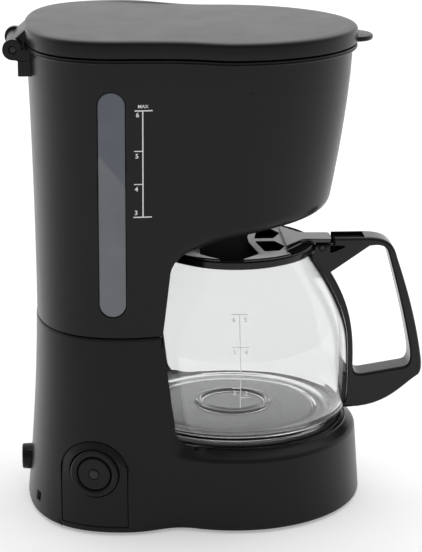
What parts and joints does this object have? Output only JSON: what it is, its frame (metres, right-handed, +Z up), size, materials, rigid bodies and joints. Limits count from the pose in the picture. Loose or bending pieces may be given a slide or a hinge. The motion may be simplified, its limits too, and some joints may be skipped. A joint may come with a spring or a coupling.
{
  "type": "drip coffee maker",
  "caption": "Drip coffee maker with rear water tank and level window, hinged lid, filter basket with drip-stop valve, hot plate, push switch and glass jug with hinged lid.",
  "frame": {"origin": "middle of the whole object's footprint, on the surface it stands on", "axes": "+Z up, -Y to the front where the jug's handle is, +Y to the hinge at the back, X across"},
  "size_m": [0.149, 0.2275, 0.265],
  "materials": {
    "black_plastic": "fine satin texture, black polypropylene",
    "dark_plastic": "matte charcoal",
    "rubber": "matte black rubber",
    "steel": "plain steel",
    "pin_steel": "blackened steel",
    "plate_coating": "black non-stick coating, semi-gloss",
    "aluminium": "as cast",
    "white_plastic": "natural white",
    "silicone": "translucent silicone",
    "smoke_window": "translucent smoke grey, satin",
    "lens": "clear grey",
    "nylon_mesh": "fine nylon mesh",
    "clear_glass": "clear borosilicate",
    "wire_brown": "pvc",
    "wire_blue": "pvc"
  },
  "bodies": {
    "machine": {"lower_housing": "black_plastic", "upper_housing": "black_plastic", "switch_panel": "black_plastic", "switch_bezel": "black_plastic", "cord_outlet": "black_plastic", "tank_tray": "dark_plastic", "brew_well": "dark_plastic", "bottom_plate": "dark_plastic", "switch_body": "dark_plastic", "spout_arm": "dark_plastic", "foot_front_left": "rubber", "foot_front_right": "rubber", "foot_back_left": "rubber", "foot_back_right": "rubber", "plate_seal": "rubber", "bottom_screw_1": "steel", "bottom_screw_2": "steel", "bottom_screw_3": "steel", "bottom_screw_4": "steel", "element_clamp": "steel", "thermostat": "steel", "button_spring": "steel", "hinge_pin": "pin_steel", "hot_plate": "plate_coating", "heating_element": "aluminium", "thermal_fuse": "white_plastic", "check_valve": "white_plastic", "riser_tube": "white_plastic", "tank_outlet_seal": "silicone", "cold_hose": "silicone", "hot_hose": "silicone", "riser_grommet": "silicone", "level_window": "smoke_window", "live_wire": "wire_brown", "neutral_wire": "wire_blue"},
    "lid": {"lid": "black_plastic", "lid_inner_panel": "dark_plastic"},
    "button": {"power_button": "black_plastic", "button_lens": "lens"},
    "basket": {"filter_basket": "dark_plastic", "valve_spring": "steel"},
    "filter": {"mesh_filter": "nylon_mesh", "filter_handle": "dark_plastic"},
    "valve": {"drip_valve": "white_plastic", "valve_seal": "silicone"},
    "jug": {"glass_jug": "clear_glass", "jug_collar": "black_plastic", "jug_handle": "black_plastic", "handle_clip": "steel", "jug_lid_pin": "pin_steel"},
    "jug_lid": {"jug_lid": "black_plastic"}
  },
  "joints": [
    {"name": "lid_hinge", "type": "hinge", "parent": "machine", "child": "lid", "pos_m": [0, 0.1082, 0.253], "axis": [-1, 0, 0], "range_deg": [0, 100]},
    {"name": "button_push", "type": "slide", "parent": "machine", "child": "button", "axis": [0.9712, -0.2384, 0], "range_m": [0, 0.0025], "stiffness_N_per_m": 300, "deforming": ["button_spring"]},
    {"name": "basket_lift", "type": "slide", "parent": "machine", "child": "basket", "axis": [0, 0, 1], "range_m": [0, 0.005]},
    {"name": "filter_lift", "type": "slide", "parent": "basket", "child": "filter", "axis": [0, 0, 1], "range_m": [0, 0.0045]},
    {"name": "valve_lift", "type": "slide", "parent": "basket", "child": "valve", "axis": [0, 0, 1], "range_m": [0, 0.004], "stiffness_N_per_m": 60, "springref_m": -0.002, "deforming": ["valve_spring"]},
    {"name": "jug_slide", "type": "slide", "parent": "machine", "child": "jug", "axis": [0, -1, 0], "range_m": [0, 0.16]},
    {"name": "jug_lid_hinge", "type": "hinge", "parent": "jug", "child": "jug_lid", "pos_m": [0, -0.0571, 0.1402], "axis": [1, 0, 0], "range_deg": [0, 6.5]}
  ]
}
